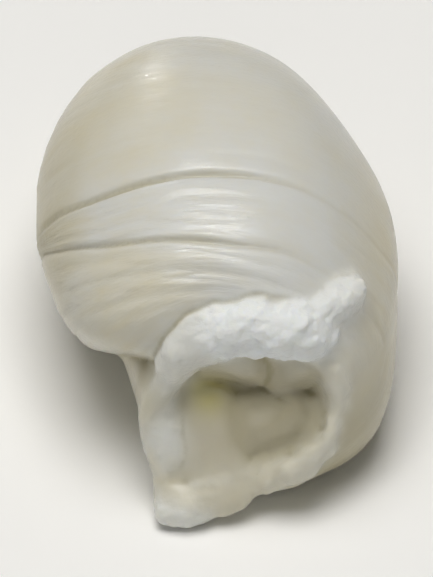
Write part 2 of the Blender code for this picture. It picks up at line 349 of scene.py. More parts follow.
@dataclass(frozen=True)
class Wrap:
    """The broad pleated arch that goes over the knot from left to right, about an axis along Y.

    Attributes:
        stations: Rows of turn about the axis (0 left, 90 top, 180 right), front edge, back edge,
            reach from the axis, the front end's power, how much it narrows forwards of the first
            pleat, where the pleats lie along Y, and how deep they are (1 is full).
        crinkles: Rows of where a shallow crease lies across the wrap when that is laid out flat,
            the turns where it begins and ends, and its depth. Its ends fade over crinkle_fade.
        laid_out: Where the front edge, the pleats and the back edge lie when the wrap is laid
            flat, which is how the fibres are spread between them.
        fibre_radius: The distance from the axis at which the fibres' length is measured.
    """

    name: str = "wrap"
    zone: Zone = Zone.SKIN
    pull: float = 1.0
    white: float = 0.0
    soft: float = 0.0
    axis_height: float = 20.0
    back_power: float = 2.15
    stations: Rows = (
        (-75, 2, 26, 16, 2.2, 0.05, 20, 14, 8, 0.3),
        (-35, -8, 31, 20.5, 2.8, 0.12, 15, 6, 1, 0.4),
        (0, -16.5, 33, 25.6, 3.8, 0.19, 5, 1.6, -6, 0.25),
        (25, -21.5, 34, 25.8, 3.4, 0.12, 0.2, -5.8, -13, 0.8),
        (50, -22.7, 34.5, 24, 2.8, 0.05, -2.2, -11, -16, 1),
        (90, -20.5, 34, 21.6, 2.5, 0, -1.2, -12.8, -16.9, 0.9),
        (125, -22, 31, 22.6, 2.3, 0, -2, -13.4, -18, 0.3),
        (155, -24, 26, 24.2, 2.2, 0, -3.6, -15, -19, 0.15),
        (180, -25, 23.3, 25.8, 2.2, 0, -4, -15.5, -20, 0.2),
        (215, -21, 24, 20.5, 2.2, 0, -4, -15, -19, 0.2),
        (255, -14, 22, 16, 2.2, 0, -3, -12, -15, 0.2),
    )
    pleats: tuple[Pleat, ...] = (
        Pleat(0.75, 0.46, 0.5, 0.35),
        Pleat(0.6, 0.44, 0.35, 0.25),
        Pleat(0.15, 0.45, 0.1, 0.1),
    )
    crinkles: Rows = (
        (-15.7, 48, 78, 0.4), (-17.5, 62, 80, 0.5), (-19.6, 34, 82, 0.7), (-21.3, 31, 66, 0.6),
        (-22.6, 24, 54, 0.5), (-13.4, 20, 50, 0.3), (-8, 12, 40, 0.25), (-5.6, 125, 165, 0.35),
        (-10.5, 120, 160, 0.35), (3.5, 95, 140, 0.22), (8, 15, 60, 0.2),
    )
    crinkle_width: float = 0.55
    crinkle_fade: float = 5.0
    laid_out: tuple[float, ...] = (-23.0, -16.0, -11.0, 0.0, 34.0)
    fibre_radius: float = 20.0
    least_gap: float = 0.1
    ring_count: int = 300
    sides: int = 420

    def rings(self) -> Array:
        """Its rings of points, in millimetres."""
        rows = blend_stations(self.stations, self.ring_count)
        angles = np.linspace(0, 2 * math.pi, self.sides, endpoint=False)
        back = superellipse(angles, self.back_power)
        rings = []
        for turn, front_y, back_y, reach, power, narrowing, *lines, full in rows:
            c, s = np.where(np.cos(angles) < 0, superellipse(angles, power), back)
            outer = np.clip(s, 0, 1) ** 0.5
            y = (front_y + back_y) / 2 + (back_y - front_y) / 2 * c
            r = reach / 2 + reach / 2 * s - outer * narrowing * np.clip(lines[0] - y, 0, None)
            for pleat, line in zip(self.pleats, lines):
                width = np.where(y > line, pleat.soft_width, pleat.front_width)
                valley = pleat.soft_depth * np.exp(-np.abs(y - line) / width)
                step = pleat.drop / (1 + np.exp((y - line) / pleat.drop_width))
                r = r - outer * full * (valley + step)
            marks = (front_y, *lines[::-1], back_y)
            for across, start, end, depth in self.crinkles:
                away = (y - np.interp(across, self.laid_out, marks)) / self.crinkle_width
                depth *= 1 / (1 + math.exp((start - turn) / self.crinkle_fade))
                depth /= 1 + math.exp((turn - end) / self.crinkle_fade)
                r = r - outer * depth * np.exp(-(away**2))
            phi = math.radians(turn)
            x, z = -math.cos(phi) * r, self.axis_height + math.sin(phi) * r
            rings.append(np.stack([x, y, z], axis=1))
        return np.array(rings)

    def unrolled(self, points: Array) -> tuple[Array, Array, Array]:
        """Reads the wrap at each point's turn about the axis.

        Args:
            points: Points in millimetres.

        Returns:
            The turns in degrees, the distances from the axis, and the blended rows there.
        """
        turn = np.degrees(np.arctan2(points[:, 2] - self.axis_height, -points[:, 0]))
        turn = np.where(turn < -90, turn + 360, turn)
        rows = blend_stations(self.stations, self.ring_count)
        columns = [np.interp(turn, rows[:, 0], rows[:, k]) for k in range(1, rows.shape[1])]
        radius = np.hypot(points[:, 0], points[:, 2] - self.axis_height)
        return turn, radius, np.stack(columns, axis=1)

    def cuts(self, points: Array) -> Array:
        """How deep the pleats' narrow cuts are at each point."""
        rows = self.unrolled(points)[2]
        depth = np.zeros(len(points))
        for k, pleat in enumerate(self.pleats):
            away = (points[:, 1] - rows[:, 5 + k]) / pleat.sharp_width
            depth += rows[:, 8] * pleat.sharp_depth * np.exp(-(away**2))
        return depth

    def fibre(self, points: Array) -> Array:
        """Each point's place along and across the fibres."""
        turn, radius, rows = self.unrolled(points)
        marks = rows.T[[0, 7, 6, 5, 1]]
        y = points[:, 1]
        across = np.full(len(points), self.laid_out[-1])
        for low, high, near, far in zip(marks, marks[1:], self.laid_out, self.laid_out[1:]):
            share = np.clip((y - low) / np.maximum(high - low, self.least_gap), 0, 1)
            across = np.where((y >= low) & (y < high), near + share * (far - near), across)
        across = np.where(y < marks[0], self.laid_out[0] + (y - marks[0]), across)
        return np.stack([np.radians(turn) * self.fibre_radius, across, radius], axis=1)


@dataclass(frozen=True)
class TornEnd:
    """The opened end of the strand: a flared horn whose mouth faces forwards and up.

    Attributes:
        centre: The middle of the mouth.
        tilt: How many degrees the mouth looks up.
        radius: The mouth's radius out to its rim.
        neck_radius: The radius where the horn leaves the knot.
        neck_depth: How far behind the mouth the neck begins.
        lip_wall: The rim's usual thickness, and thin_wall is the least share of it.
        tongue: The height, direction and width of the rim's droop.
        rim_bumps: Rows of the same for the rim's radius, and wall_bumps for its wall.
    """

    name: str = "torn_end"
    zone: Zone = Zone.SKIN
    pull: float = 0.6
    white: float = 0.1
    soft: float = 0.3
    centre: tuple[float, float, float] = (3.6, -25.5, 16.5)
    tilt: float = 29.0
    radius: float = 14.6
    neck_radius: float = 11.5
    neck_depth: float = 24.0
    lip_wall: float = 3.4
    tongue: tuple[float, ...] = (1, 240, 24)
    rim_bumps: Rows = (
        (0.22, 228, 10), (0.2, 245, 10), (-0.05, 0, 30), (0.03, 206, 12), (-0.2, 286, 18),
        (-0.07, 318, 18),
    )
    wall_bumps: Rows = ((0.5, 92, 48), (0.6, 240, 24))
    thin_wall: float = 0.62
    sides: int = 144
    ring_count: int = 70

    def frame(self) -> tuple[Array, Array, Array]:
        """The mouth's right and up directions, and its outward normal."""
        tilt = math.radians(self.tilt)
        right = np.array((1.0, 0.0, 0.0))
        normal = np.array((0.0, -math.cos(tilt), math.sin(tilt)))
        return right, np.cross(normal, right), normal

    def rim(self, deg: Array) -> tuple[Array, Array, Array]:
        """Shapes the torn rim, which droops into a tongue at the lower left.

        Args:
            deg: Directions round the mouth in degrees.

        Returns:
            The rim's radius, its rise and the wall's thickness at each direction.
        """
        shape = 1 + bumps(deg, *self.rim_bumps)
        wall = self.thin_wall + bumps(deg, *self.wall_bumps)
        return self.radius * shape, bumps(deg, self.tongue), self.lip_wall * wall

    def place(self, profile: list[tuple[Array, Array | float]]) -> Array:
        """Turns radii and rises round the mouth's axis into rings of points.

        Args:
            profile: The radius and the rise of each ring at every direction.

        Returns:
            The rings of points, in millimetres.
        """
        right, up, normal = self.frame()
        rad = np.linspace(0, 2 * math.pi, self.sides, endpoint=False)
        rings = []
        for radius, rise in profile:
            ring = np.outer(radius * np.cos(rad), right) + np.outer(radius * np.sin(rad), up)
            rings.append(self.centre + ring + np.outer(rise + 0 * rad, normal))
        flat = np.array(rings).reshape(len(rings), -1)
        return blend_stations(flat, self.ring_count).reshape(self.ring_count, self.sides, 3)

    def rings(self) -> Array:
        """Its rings of points, in millimetres."""
        deg = np.linspace(0, 360, self.sides, endpoint=False)
        rim, rise, wall = self.rim(deg)
        radius, depth = self.neck_radius * np.ones_like(deg), self.neck_depth
        profile = [
            (radius * 0.5, -depth),
            (radius, -depth * 0.85),
            (radius * 1.15, -depth * 0.6),
            (rim * 0.92, -8.0),
            (rim * 0.99, -3.5),
            (rim, rise - 1.2),
            (rim - wall * 0.5, rise),
            (rim - wall, rise - 1.0),
            (rim * 0.4, rise * 0.4 - 1.0),
            (rim * 0.05, -1.0),
        ]
        return self.place(profile)

    def local(self, points: Array) -> tuple[Array, Array, Array]:
        """The points' coordinates to the right, up and outwards in the mouth's frame."""
        off = points - self.centre
        return tuple(off @ axis for axis in self.frame())

    def fibre(self, points: Array) -> Array:
        """Each point's place along and across the fibres."""
        right, up, out = self.local(points)
        return np.stack([out, right, up], axis=1)


@dataclass(frozen=True)
class MouthHollow:
    """The hollow of the torn end: deepest under the lip, and nearly flush at the tongue.

    Attributes:
        depth_bumps: The height, direction and width of what is added to its least depth.
    """

    end: TornEnd = TornEnd()
    least_depth: float = 0.6
    depth_bumps: Rows = ((2.4, 96, 46), (3.2, 6, 36), (2.4, 300, 35))
    name: str = "mouth_hollow"
    zone: Zone = Zone.INNER
    pull: float = 0.2
    white: float = 0.0
    soft: float = 1.0

    def rings(self) -> Array:
        """Its rings of points, in millimetres."""
        deg = np.linspace(0, 360, self.end.sides, endpoint=False)
        rim, rise, wall = self.end.rim(deg)
        depth = self.least_depth + bumps(deg, *self.depth_bumps)
        profile = [
            (rim * 0.05, 8.0),
            (rim - wall + 1.5, 8.0),
            (rim - wall + 0.5, rise + 0.5),
            (rim - wall - 0.3, rise - 1.0),
            (rim - wall - 0.9, -depth * 0.6),
            (rim * 0.62, -depth),
            (rim * 0.3, -depth * 0.7 - 1.0),
            (rim * 0.05, -2.4),
        ]
        return self.end.place(profile)

    def fibre(self, points: Array) -> Array:
        """Each point's place along and across the fibres."""
        return self.end.fibre(points)


Form = Wrap | Ball | Strand | TornEnd | MouthHollow


# --- node trees ---


def linear(code: str) -> tuple[float, float, float, float]:
    """Turns an sRGB hex colour into the linear values that nodes take."""
    parts = [int(code[i : i + 2], 16) / 255 for i in (1, 3, 5)]
    return (*[p / 12.92 if p <= 0.04045 else ((p + 0.055) / 1.055) ** 2.4 for p in parts], 1.0)


def add(
    tree: NodeTree,
    kind: str,
    sockets: dict | tuple | list = (),
    output: int | str = 0,
    **settings: object,
) -> NodeSocket | None:
    """Adds a node with its settings and links.

    Args:
        tree: The tree that gets the node.
        kind: The node's type.
        sockets: Its inputs in order, or by name or number, each a value or another's output.
        output: Which of its outputs is wanted.
        settings: The node's own properties.

    Returns:
        The output, or None where the node has none.
    """
    node = tree.nodes.new(kind)
    for key, value in settings.items():
        setattr(node, key, value)
    inputs = sockets if isinstance(sockets, dict) else dict(enumerate(sockets))
    for key, value in inputs.items():
        if isinstance(value, NodeSocket):
            tree.links.new(value, node.inputs[key])
        else:
            node.inputs[key].default_value = value
    return node.outputs[output] if len(node.outputs) else None


@dataclass
class NodeModifier:
    """A Geometry Nodes tree with named inputs, and the object that it is run on."""

    name: str
    sizes: dict[str, float | int | Material]
    tree: NodeTree = field(init=False)
    source: Node = field(init=False)

    KINDS = {float: "Float", int: "Int", Material: "Material"}

    def __post_init__(self) -> None:
        """Starts the tree with a geometry input and one input for each named size."""
        self.tree = bpy.data.node_groups.new(self.name, "GeometryNodeTree")
        face = self.tree.interface
        face.new_socket("Geometry", in_out="INPUT", socket_type="NodeSocketGeometry")
        for name, value in self.sizes.items():
            kind = f"NodeSocket{self.KINDS[type(value)]}"
            face.new_socket(name, in_out="INPUT", socket_type=kind)
        face.new_socket("Geometry", in_out="OUTPUT", socket_type="NodeSocketGeometry")
        self.source = self.tree.nodes.new("NodeGroupInput")

    def finish(self, geometry: NodeSocket) -> None:
        """Realises the instances, sets the material and closes the tree."""
        real = add(self.tree, "GeometryNodeRealizeInstances", (geometry,))
        sockets = {"Geometry": real, "Material": self.source.outputs["Material"]}
        made = add(self.tree, "GeometryNodeSetMaterial", sockets)
        add(self.tree, "NodeGroupOutput", (made,))

    def run(self, obj: Object) -> Mesh:
        """Runs the tree on an object.

        Args:
            obj: A linked object, which is left as it was.

        Returns:
            The result as a plain mesh.
        """
        modifier = obj.modifiers.new(self.name, "NODES")
        modifier.node_group = self.tree
        for item in self.tree.interface.items_tree:
            if item.in_out == "INPUT" and item.name in self.sizes:
                modifier[item.identifier] = self.sizes[item.name]
        shaped = obj.evaluated_get(bpy.context.evaluated_depsgraph_get())
        mesh = bpy.data.meshes.new_from_object(shaped)
        obj.modifiers.remove(modifier)
        return mesh


# --- finishes ---


@dataclass(frozen=True)
class FreshCurd:
    """Fresh pasta filata: curd stretched in hot water and set in brine, wet and milky.

    Light goes a few millimetres into it, so that it glows softly, and a film of whey makes it
    glossy. Creases hold whey and are darkened with painted shade in an olive colour, the inside
    of the torn end holds whey and looks yellower, and the torn edge is drier, whiter and rougher.
    The real fibres are finer than a tenth of a millimetre, and they are drawn a few times
    coarser here so that they show.

    Attributes:
        fibre_pitch: How wide the fibres are. Their length and the broad streaks' width,
            fibre_stretch and broad_fibres, are multiples of it.
        streaks: How warm the streaks are, as mottle is for the cloudy spots. The warm colour's
        weight is for the places marked as warm: the curd's warmer tone and painted shade.
        film: The weight of the film of whey, whose beads are raised by the fibres and the grain.
    """

    name: str = "fresh_stretched_curd"
    skin: str = "#D6D7D3"
    # Partly the curd's warmer tone and partly painted shade near the table and at both sides.
    warm: str = "#D2CAAD"
    # Painted shade: this darker olive colour is laid into creases, folds, the pleats' cuts and low
    # places.
    crease_shade: str = "#AAA17C"
    inner: str = "#D0CAB4"
    whey: str = "#E0D680"
    torn: str = "#ECEFEE"
    fibre_pitch: float = 0.5
    fibre_stretch: float = 9.0
    broad_fibres: float = 5.0
    mottle_size: float = 9.0
    grain_size: float = 0.6
    streaks: float = 0.8
    mottle: float = 0.8
    mottle_from: float = 0.4
    aged: float = 0.7
    roughness: float = 0.36
    roughness_spread: float = 0.12
    torn_roughness: float = 0.6
    subsurface: float = 0.5
    subsurface_radius: tuple[float, float, float] = (1.0, 0.9, 0.7)
    subsurface_depth: float = 1.0
    ior: float = 1.38
    noise_roughness: float = 0.55
    film: float = 0.4
    film_roughness: float = 0.05
    film_ior: float = 1.34
    bump_height: float = 0.09
    broad_height: float = 0.6
    torn_height: float = 1.5
    bead_size: float = 0.5
    bead_stretch: float = 0.6
    bead_height: float = 0.15
    bead_pull: float = 6.0
    bead_grain: float = 4.0

    def material(self) -> Material:
        """Builds the procedural material.

        Returns:
            The material, which reads the mesh's attributes.
        """
        made = bpy.data.materials.new(self.name)
        made.use_nodes = True
        tree = made.node_tree
        tree.nodes.clear()

        put = partial(add, tree)
        names = ("torn", "crease_shade", "inner", "deep", "pull", "warm", "raw")
        terms = {
            name: put("ShaderNodeAttribute", output="Fac", attribute_name=name) for name in names
        }
        lie = put("ShaderNodeAttribute", output="Vector", attribute_name="fibre")
        fibres, film = (
            put("ShaderNodeVectorMath", (lie, (share, 1.0, 1.0)), operation="MULTIPLY")
            for share in (1 / self.fibre_stretch, self.bead_stretch)
        )
        place = put("ShaderNodeTexCoord", output="Object")
        for name, vector, size, detail in (
            ("fine", fibres, self.fibre_pitch, 3.0),
            ("broad", fibres, self.fibre_pitch * self.broad_fibres, 2.0),
            ("mottle", place, self.mottle_size * MM, 3.0),
            ("grain", place, self.grain_size * MM, 3.0),
            ("beads", film, self.bead_size, 1.5),
        ):
            sockets = {"Vector": vector, "Scale": 1 / size, "Detail": detail}
            sockets["Roughness"] = self.noise_roughness
            terms[name] = put("ShaderNodeTexNoise", sockets)

        # Each row adds to the named terms: the result, the operation and what it takes.
        for name, operation, *parts in (
            ("streaks", "SUBTRACT", "broad", 0.5),
            ("strength", "MULTIPLY", "pull", self.streaks),
            ("streaks", "MULTIPLY", "streaks", "strength"),
            ("spots", "SUBTRACT", "mottle", self.mottle_from),
            ("spots", "MULTIPLY", "spots", self.mottle),
            ("spots", "ADD", "spots", "streaks"),
            ("aged", "MULTIPLY", "warm", self.aged),
            ("warm", "ADD", "spots", "aged"),
            ("shown", "MULTIPLY", "pull", self.bead_pull),
            ("shown", "MINIMUM", "shown", 1.0),
            ("beads", "MULTIPLY", "beads", "shown"),
            ("grains", "MULTIPLY", "grain", "raw"),
            ("grains", "MULTIPLY", "grains", self.bead_grain),
            ("beads", "ADD", "beads", "grains"),
            ("smooth", "MULTIPLY", "fine", self.roughness_spread),
            ("smooth", "ADD", self.roughness - self.roughness_spread / 2, "smooth"),
            ("fibred", "MULTIPLY", "broad", self.broad_height),
            ("fibred", "ADD", "fine", "fibred"),
            ("fibred", "MULTIPLY", "fibred", "pull"),
            ("grained", "MULTIPLY", "grain", self.torn_height),
        ):
            values = [terms.get(part, part) for part in parts]
            terms[name] = put(MATH, values, operation=operation)
        terms["warm"] = put("ShaderNodeClamp", (terms["warm"],))
        # Painted shade: the olive colour for creases darkens folds and low places, and the warm
        # colour is partly the curd's warmer tone and partly painted shade.
        colour = linear(self.skin)
        for name, most, code in (
            ("warm", 1.0, self.warm),
            ("inner", 0.8, self.inner),
            ("deep", 0.9, self.whey),
            ("crease_shade", 0.8, self.crease_shade),
            ("torn", 1.0, self.torn),
        ):
            share = put(MATH, (terms[name], most), operation="MULTIPLY")
            sockets = {0: share, 6: colour, 7: linear(code)}
            colour = put("ShaderNodeMix", sockets, output=2, data_type="RGBA")
        rough, height = (
            put("ShaderNodeMix", {0: terms["torn"], 2: whole, 3: torn}, data_type="FLOAT")
            for whole, torn in (
                (terms["smooth"], self.torn_roughness),
                (terms["fibred"], terms["grained"]),
            )
        )
        sockets = {"Strength": 1.0, "Distance": self.bump_height * MM, "Height": height}
        relief = put("ShaderNodeBump", sockets)
        sockets = {"Strength": 1.0, "Distance": self.bead_height * MM, "Height": terms["beads"]}
        sockets = {
            "Base Color": colour,
            "Roughness": rough,
            "IOR": self.ior,
            "Normal": relief,
            "Subsurface Weight": self.subsurface,
            "Subsurface Radius": self.subsurface_radius,
            "Subsurface Scale": self.subsurface_depth * MM,
            "Coat Weight": self.film,
            "Coat Roughness": self.film_roughness,
            "Coat IOR": self.film_ior,
            "Coat Normal": put("ShaderNodeBump", sockets | {"Normal": relief}),
        }
        shader = put("ShaderNodeBsdfPrincipled", sockets, subsurface_method="RANDOM_WALK")
        put("ShaderNodeOutputMaterial", {"Surface": shader})
        return made


@dataclass(frozen=True)
class StudioFloor:
    """Matt painted board, pale and even."""

    name: str = "studio_floor_paint"
    colour: str = "#FBFBF9"
    roughness: float = 0.85

    def material(self) -> Material:
        """Builds the floor's material."""
        made = bpy.data.materials.new(self.name)
        made.use_nodes = True
        shader = made.node_tree.nodes["Principled BSDF"]
        shader.inputs["Base Color"].default_value = linear(self.colour)
        shader.inputs["Roughness"].default_value = self.roughness
        return made


# --- the knot ---


@dataclass(frozen=True)
class KnotForms:
    """The named lengths of the strand, from which the knot is fused.

    Attributes:
        lengths: What is fused before the mouth is hollowed, the wrap first.
        laid: What is then laid in and round the mouth.
        outlined: The folds in and beside the mouth whose borders are darkened with painted shade.
        whey_pool: The middle of the whey that gathers in the mouth.
    """

    hollow: MouthHollow = MouthHollow()
    outlined: tuple[str, ...] = ("inner_roll", "inner_fold", "inner_ridge", "neck")
    whey_pool: tuple[float, float, float] = (-1.2, -22.0, 18.2)
    lengths: tuple[Form, ...] = (
        Wrap(),
        Ball("core", (0.0, 6.0, 18.4), (20.5, 23.0, 17.5)),
        Strand("flank", (
            (10, 14, 18, 9, 12), (15, 2, 16.5, 10, 13.5), (16.5, -9, 14.5, 9, 12.5),
            (15.5, -18, 12, 8.2, 11), (11, -23.6, 10.1, 6, 7), (4, -26.5, 7.8, 4.5, 5.2),
        ), soft=0.4),
        Strand("neck", (
            (-7.6, -25, 16.6, 2.4, 3.2), (-8.1, -23.4, 17, 2.8, 4), (-8.6, -20, 17, 3.1, 4.6),
            (-9.4, -16, 17, 3.2, 5), (-10, -11, 17, 3.4, 5.4), (-9, -5, 17, 3, 5),
        ), soft=0.6),
        Strand("back_loop", (
            (-10, -2, 14, 4, 5), (-15, 4, 13, 6, 7.5), (-16.5, 12, 12, 7.5, 9.5),
            (-11.5, 22, 11.5, 8, 10), (-1, 27.5, 11.5, 8, 10), (10, 23.5, 12.5, 7.5, 9.5),
            (15.5, 12, 14, 6.5, 9), (11, 4, 15, 4, 5),
        ), pull=0.6),
        Strand("back_stub", (
            (-3, 20, 13, 9, 8.5), (-6.5, 30, 9.5, 8.6, 7.6), (-9.5, 36.5, 7, 7.2, 6.2),
            (-12, 41.5, 5.6, 5.6, 4.6), (-14.5, 45, 5.4, 4.8, 3.9), (-15.6, 47, 5.6, 3.2, 2.6),
        ), pleats=7, pleat_depth=0.2, pull=0.9),
        TornEnd(),
    )
    laid: tuple[Strand, ...] = (
        Strand("mouth_floor", (
            (-1.8, -20.9, 19.3, 3.6, 1.4), (-2.2, -22.1, 17.2, 5.4, 1.8),
            (-2.6, -23.9, 15.1, 6.4, 2.1), (-2.6, -25.6, 12.4, 6.8, 2.2),
            (-2.4, -27.2, 9.2, 6.8, 2.1), (-2.6, -28.8, 7.2, 5.8, 1.6),
        ), zone=Zone.INNER, soft=1.0),
        Strand("inner_roll", (
            (1, -23.4, 12.6, 2.2, 2.6), (3.2, -23.2, 12.8, 4, 5), (6.4, -22.9, 13, 4.4, 5.4),
            (9.6, -22.5, 13.6, 4.2, 5.2), (12.6, -22, 14.6, 3.5, 4.4),
            (14.6, -21.6, 15.6, 1.8, 2.2),
        ), zone=Zone.INNER, lumps=0.5, grain=3.0, soft=0.3),
        Strand("inner_fold", (
            (-2.5, -20.4, 22.8, 1.6, 2), (2, -20.5, 23.2, 2.2, 3.4), (5.6, -20.7, 22.8, 2.4, 3.8),
            (9.2, -20.9, 22, 2.5, 3.8), (13, -20.6, 22.6, 2.4, 3.6), (16, -20.8, 22.4, 1.8, 2.4),
        ), zone=Zone.INNER, lumps=0.25, grain=6.0, soft=0.9),
        Strand("inner_ridge", (
            (13.5, -22.8, 17.8, 0.7), (13.7, -23.4, 16.6, 1), (13.9, -25, 14.9, 1.1),
            (12.5, -26.4, 12.4, 1.1), (10.2, -27.2, 10.7, 0.9),
        ), zone=Zone.INNER, soft=0.7),
        Strand("left_swell", (
            (-7.4, -22.8, 19.9, 1.8, 0.9), (-7.8, -23.5, 18, 2.4, 1.2),
            (-8.2, -24.9, 15.5, 3, 1.5), (-8, -26.3, 12.8, 3.2, 1.6),
            (-7.4, -27.5, 10.6, 2.8, 1.2), (-6.9, -28.3, 9.2, 1.6, 0.7),
        ), zone=Zone.TORN, lumps=0.5, grain=2.6, white=0.85, soft=1.0),
        Strand("sill", (
            (-1.5, -27.9, 8.2, 2.2), (3, -28.3, 7.7, 2.4), (7, -27.7, 8.8, 2.2),
            (10.5, -26.7, 10.2, 1.6),
        ), zone=Zone.INNER, lumps=0.4, grain=2.6, soft=1.0),
        Strand("tongue_root", (
            (-7.3, -30.6, 6.6, 1.4), (-4, -31.2, 5.9, 2.1), (0.5, -30.9, 6.4, 2.1),
            (4.5, -30, 7.6, 1.6), (7.5, -29.2, 8.8, 1.2),
        ), zone=Zone.INNER, soft=1.0),
        Strand("ridge", (
            (-5.7, -30.9, 6.2, 0.8), (-3.4, -30.5, 7.1, 1.2), (-0.6, -29.9, 8.1, 1.4),
            (2.3, -29.6, 8.6, 1.3), (5.4, -29.3, 9.2, 0.9),
        ), zone=Zone.TORN, lumps=0.4, grain=2.0, white=0.45, soft=0.4),
        Strand("tip", (
            (-8.3, -30.9, 6.3, 1.2), (-7.2, -32.4, 4.7, 2.2), (-4.4, -32.6, 4.6, 2.35),
            (-1.8, -32.3, 4.9, 1.9), (-0.2, -31.8, 5.5, 1.2),
        ), zone=Zone.TORN, lumps=0.4, grain=3.5, white=0.75, soft=0.8),
        Strand("tip_lobe", (
            (-0.4, -32, 5.4, 1), (1.2, -31.9, 5.1, 1.6), (3, -31.5, 5.6, 1.5),
            (4.6, -30.8, 6.4, 1.1),
        ), zone=Zone.TORN, lumps=0.4, grain=3.0, white=0.1, soft=0.5),
        Strand("left_rim", (
            (-9.9, -26.4, 14.4, 0.7), (-9.7, -25.5, 16.2, 1.2), (-9.3, -24.7, 18, 1.4),
            (-8.6, -23.9, 19.8, 1.3),
        ), zone=Zone.TORN, lumps=0.6, grain=3.4, white=0.35, soft=0.8),
        Strand("lip_arm", (
            (-9, -25.2, 16.8, 1, 1), (-8.4, -24.2, 18.9, 1.5, 1.5), (-6.8, -23.1, 21.6, 2.1, 2.5),
            (-4.7, -21.8, 26, 3.3, 4.7), (-2.6, -21.2, 28.4, 4.3, 4.2), (-0.2, -21, 29.3, 3, 3),
        ), zone=Zone.TORN, lumps=0.7, grain=3.4, white=0.42, soft=0.6),
        Strand("lip", (
            (-3.6, -21.2, 28.3, 1.4, 1.6), (-1.8, -21, 29, 4, 4), (0.4, -20.8, 29.6, 5, 4.3),
            (2.6, -20.6, 30.1, 5.1, 4.2), (5.4, -20.3, 30.6, 5.1, 4.1),
            (9.2, -20.6, 29.9, 5.5, 4.1), (12.8, -20.8, 29, 4.8, 3.8),
            (15.4, -20.1, 27.7, 2.8, 2.5), (16.6, -19.6, 27.2, 1, 1),
        ), zone=Zone.TORN, lumps=0.8, grain=4.0, white=1.0, soft=0.55),
        Strand("flake", (
            (13.5, -18.8, 30.3, 2.6), (16.8, -16.8, 30.9, 2.8), (19.3, -15, 31, 2.2),
            (20.8, -13.2, 30.9, 1.4), (21.5, -12.5, 30.8, 0.5),
        ), zone=Zone.TORN, lumps=0.7, grain=3.0, white=0.8, soft=0.9),
        Strand("right_rim", (
            (16.2, -22.4, 24.2, 1.4), (16.7, -22.9, 22.8, 2), (16.9, -24.2, 19.9, 1.4),
            (16.7, -26, 16.6, 1.4), (15.3, -27.7, 13.3, 1.7), (12.2, -29, 10.8, 2.2),
            (8.6, -29.7, 9, 2), (5.2, -30.1, 7.6, 1.4),
        ), zone=Zone.TORN, lumps=1.1, grain=2.4, white=0.25, soft=0.5),
    )

    def every(self) -> list[Form]:
        """All the lengths and the hollow, the wrap first."""
        return [*self.lengths, self.hollow, *self.laid]


@dataclass(frozen=True)
class CurdPlaces:
    """Where on the knot the curd's looks change, in millimetres, or in degrees of turn.

    Attributes:
        pull_forward: The fibres' strength across the wrap, times pull_left by turn.
        soft_right: Where the wrap melts away, by turn.
        edge_front: Where the wrap's front edge stays sharp, times edge_left.
        warm_low: Painted shade in the warm colour near the table. The next ones are for painted
        shade at both sides and for the wrap's warmer tone.
        shade_low: The shade near the table, times shade_right, or shade_left if that is more.
        deep: How far inside the mouth the curd is yellow with whey.
        fold: From what depth to what depth a narrow fold takes on painted shade, as wide is for
        broad creases.
        clear: How far from the next length the fibres are at their full depth.
        melt: From which softness on the torn curd's colours run together.
    """

    pull_forward: Ramp = Ramp(3.0, -4.0, least=0.3)
    pull_left: Ramp = Ramp(120.0, 80.0, least=0.5)
    soft_right: Ramp = Ramp(115.0, 150.0, most=0.9)
    edge_front: Ramp = Ramp(-14.0, -18.0)
    edge_left: Ramp = Ramp(12.0, 8.0)
    warm_low: Ramp = Ramp(37.0, 14.0, most=0.85)
    warm_sides: Ramp = Ramp(15.0, 25.0)
    warm_back: Ramp = Ramp(-2.0, 8.0)
    warm_left: Ramp = Ramp(4.0, -20.0, most=0.8, least=0.25)
    warm_front: Ramp = Ramp(-8.0, -15.0)
    warm_front_left: Ramp = Ramp(6.0, -12.0, most=0.6)
    shade_low: Ramp = Ramp(26.0, 10.0)
    shade_right: Ramp = Ramp(6.0, 16.0)
    shade_left: Ramp = Ramp(-17.0, -25.0, most=0.7)
    deep: Ramp = Ramp(-3.0, -6.0)
    fold: Ramp = Ramp(0.05, 0.28)
    wide: Ramp = Ramp(0.2, 0.9)
    clear: Ramp = Ramp(0.2, 1.4)
    melt: Ramp = Ramp(0.6, 0.95)


